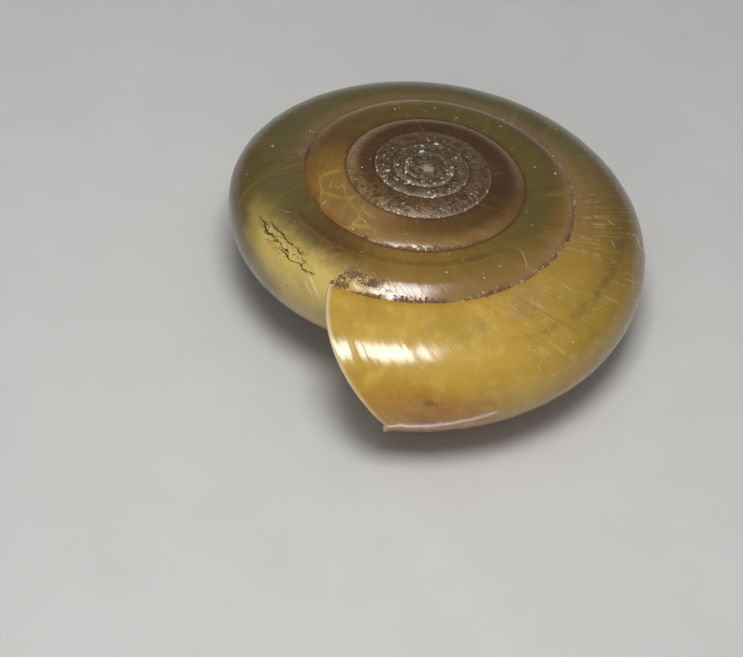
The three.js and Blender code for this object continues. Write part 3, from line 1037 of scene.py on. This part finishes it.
def make_bloom_and_glints():
    """Bluish-white specks of the worn apex, partly painted glints: glints in the middle, and small grains along its
    sutures.
    """
    rng = np.random.default_rng(22)
    glint = np.append(rng.uniform(-5.9, -4.4, 45), rng.uniform(-4.4, -3.4, 25))
    scattered = rng.uniform(-4.6, -2.6, 150)
    rim = np.concatenate([rng.uniform(-3.3, -2.95, 110), rng.uniform(-4.0, -3.85, 60), rng.uniform(-4.35, -4.0, 60)])
    rim = in_clumps(rim, 60, 32, -0.1)
    inner = np.append(glint, scattered)
    inner_angle = mix(outline_at(inner)[5], FOLLOWING_SUTURE, rng.random(len(inner)))
    rim_angle = FOLLOWING_SUTURE + np.radians(np.abs(rng.normal(0, 5, len(rim))))
    size = np.concatenate([
        grain_sizes(rng, GLINT_SIZE, 0.35, len(glint)),
        grain_sizes(rng, BLOOM_SIZE, 0.4, len(scattered)),
        grain_sizes(rng, RIM_BLOOM_SIZE, 0.4, len(rim)),
    ])
    turn, angle = np.append(inner, rim), np.append(inner_angle, rim_angle)
    # Their bluish-white is partly painted glints.
    finish = speck_finish("bluish_bloom_and_glints", ROSE_GREY, BLUE_WHITE, 0.15)
    make_grains("apex_bloom_and_glints", rng, turn, angle, size, 1, 0.35, finish)


def make_crumbs():
    """Pale crumbs: a dotted line in the outer suture, loose ones over the whorls, and one large one."""
    rng = np.random.default_rng(23)
    edge = rng.uniform(-1.5, -1.12, 130)
    edge_angle = FOLLOWING_SUTURE + np.radians(rng.normal(1.5, 1.8, len(edge)))
    loose = rng.uniform(-2.1, -0.1, 110)
    outer = np.where(loose > -1, 0.0, FOLLOWING_SUTURE)
    loose_angle = mix(outline_at(loose)[5], outer, rng.random(len(loose)))
    size = grain_sizes(rng, CRUMB_SIZE, 0.3, len(edge) + len(loose))
    large_turn, large_angle, large_size = LARGE_CRUMB
    turn, angle = np.hstack([edge, loose, large_turn]), np.hstack([edge_angle, loose_angle, large_angle])
    finish = speck_finish("pale_crumb", TAN, CREAM, 0.5)
    make_grains("pale_crumbs", rng, turn, angle, np.append(size, large_size), 1, 0.6, finish)


def add_fibre(skin, rng, turn, angle):
    """One curled fibre, thinner at its ends, whose far end may lift off the surface."""
    length = rng.uniform(0.12, 0.5)
    heading, curl = rng.uniform(0, math.pi), rng.normal(0, 1.0)
    along = np.linspace(-0.5, 0.5, FIBRE_STEPS + 1)
    direction = heading + curl * along
    step = length / FIBRE_STEPS * np.stack([np.cos(direction), np.sin(direction)], -1)
    path = np.cumsum(step, axis=0) - step.sum(axis=0) / 2
    around = 2 * math.pi * OUTER_RADIUS * GROWTH**turn
    place, normal, _ = on_shell(turn + path[:, 0] / around, angle + path[:, 1] / speed(turn, angle))
    radius = rng.uniform(0.004, 0.008)
    lift = FIBRE_LIFT * (0.5 + along)[:, None] ** 3 * rng.uniform(0, 1.5)
    place = place + normal * (radius + lift)
    tangent = np.gradient(place, axis=0)
    tangent /= np.linalg.norm(tangent, axis=-1, keepdims=True)
    second = np.cross(tangent, normal)
    sides = np.linspace(0, 2 * math.pi, FIBRE_SIDES + 1)[:-1, None]
    slim = radius * (1 - 0.7 * np.abs(2 * along) ** 6)[:, None, None]
    ring = normal[:, None] * np.cos(sides) + second[:, None] * np.sin(sides)
    numbers = skin.add(place[:, None] + ring * slim)
    skin.sheet(np.concatenate([numbers, numbers[:, :1]], axis=1), True)
    skin.faces += [numbers[0][::-1].tolist(), numbers[-1].tolist()]


def make_lint():
    """Short fibres on the last whorl, more of them behind the mouth, and a few on the spire."""
    rng = np.random.default_rng(24)
    turn = rng.uniform(-1.3, -0.08, LINT_COUNT)
    turn[FRONT_LINT] = rng.uniform(-0.34, -0.1, FRONT_LINT.stop - FRONT_LINT.start)
    turn[SPIRE_LINT] = rng.uniform(-2.15, -1.85, SPIRE_LINT.stop - SPIRE_LINT.start)
    outer = np.where(turn > -1, 0.0, FOLLOWING_SUTURE)
    angle = mix(outline_at(turn)[5], outer, rng.uniform(0.1, 0.9, LINT_COUNT))
    skin = Skin()
    for fibre_turn, fibre_angle in zip(turn, angle):
        add_fibre(skin, rng, fibre_turn, fibre_angle)
    piece = skin.make("lint")
    f = Finish("pale_lint", IOR=1.5, Sheen_Weight=0.3)
    colour = f.ramp(f.noise(6, 2), [(0.3, HONEY), (0.7, CREAM)])
    piece.data.materials.append(f.finish(Base_Color=colour, Roughness=f.noise(20, 2) * 0.3 + 0.3))
    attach(piece, "root")


make_dirt()
make_bloom_and_glints()
make_crumbs()
make_lint()


# ---------------------------------------------------------------- the studio

FLOOR_HALF = 1.0
FLOOR_SHADE = (0.56, 0.555, 0.54, 1)
FLOOR_LIGHT = (0.58, 0.575, 0.56, 1)
ROOM_COLOUR = (0.95, 0.97, 1.0, 1)
ROOM_STRENGTH = 0.13
# The camera's place in millimetres, its turn in degrees, and its clipping in metres.
CAMERA_PLACE = (-1.007, -44.399, 47.601)
CAMERA_TURN = (41.765, -4.977, 6.248)
CAMERA_LENS = 102.51
CAMERA_CLIP = (0.001, 10)
# Each light: name, place, target, width and depth, all in millimetres, radiance, and the rays that miss it.
LIGHTS = (
    ("overhead_box", (-3, -20, 64), (-1, 0, 3), (22, 22), 20.0, ("camera",)),
    ("front_fill", (-20, -95, 45), (0, 0, 2), (110, 60), 1.0, ("camera", "glossy")),
    ("ceiling_wash", (0, 0, 450), (0, 0, 0), (500, 500), 0.45, ("camera", "glossy")),
    ("rim_card", (1.7, -7.1, 0.3), (1.7, -7.1, 5), (4.2, 0.32), 3.2, ("camera", "diffuse", "transmission")),
)


def make_floor():
    mesh = bpy.data.meshes.new("studio_floor")
    h = FLOOR_HALF
    mesh.from_pydata([(-h, -h, 0), (h, -h, 0), (h, h, 0), (-h, h, 0)], [], [(0, 1, 2, 3)])
    floor = bpy.data.objects.new("studio_floor", mesh)
    bpy.context.scene.collection.objects.link(floor)
    f = Finish("pale_floor", Roughness=0.7)
    colour = f.ramp(f.noise(0.4, 2), [(0.3, FLOOR_SHADE), (0.7, FLOOR_LIGHT)])
    mesh.materials.append(f.finish(Base_Color=colour))


def make_lights():
    for name, place, target, size, radiance, unseen_by in LIGHTS:
        lamp = bpy.data.lights.new(name, "AREA")
        lamp.shape = "RECTANGLE"
        lamp.size, lamp.size_y = (side * MM for side in size)
        lamp.energy = radiance * math.pi * lamp.size * lamp.size_y
        holder = bpy.data.objects.new(name, lamp)
        holder.location = Vector(place) * MM
        holder.rotation_euler = (Vector(target) - Vector(place)).to_track_quat("-Z", "Y").to_euler()
        for kind in unseen_by:
            setattr(holder, f"visible_{kind}", False)
        bpy.context.scene.collection.objects.link(holder)
    world = bpy.data.worlds.new("soft_room")
    world.use_nodes = True
    background = world.node_tree.nodes["Background"]
    background.inputs["Color"].default_value = ROOM_COLOUR
    background.inputs["Strength"].default_value = ROOM_STRENGTH
    bpy.context.scene.world = world


def make_camera():
    scene = bpy.context.scene
    eye = bpy.data.cameras.new("camera")
    eye.lens = CAMERA_LENS
    eye.clip_start, eye.clip_end = CAMERA_CLIP
    camera = bpy.data.objects.new("camera", eye)
    camera.location = Vector(CAMERA_PLACE) * MM
    camera.rotation_euler = [math.radians(turn) for turn in CAMERA_TURN]
    scene.collection.objects.link(camera)
    scene.camera = camera
    scene.view_settings.view_transform = "Standard"


make_floor()
make_lights()
make_camera()
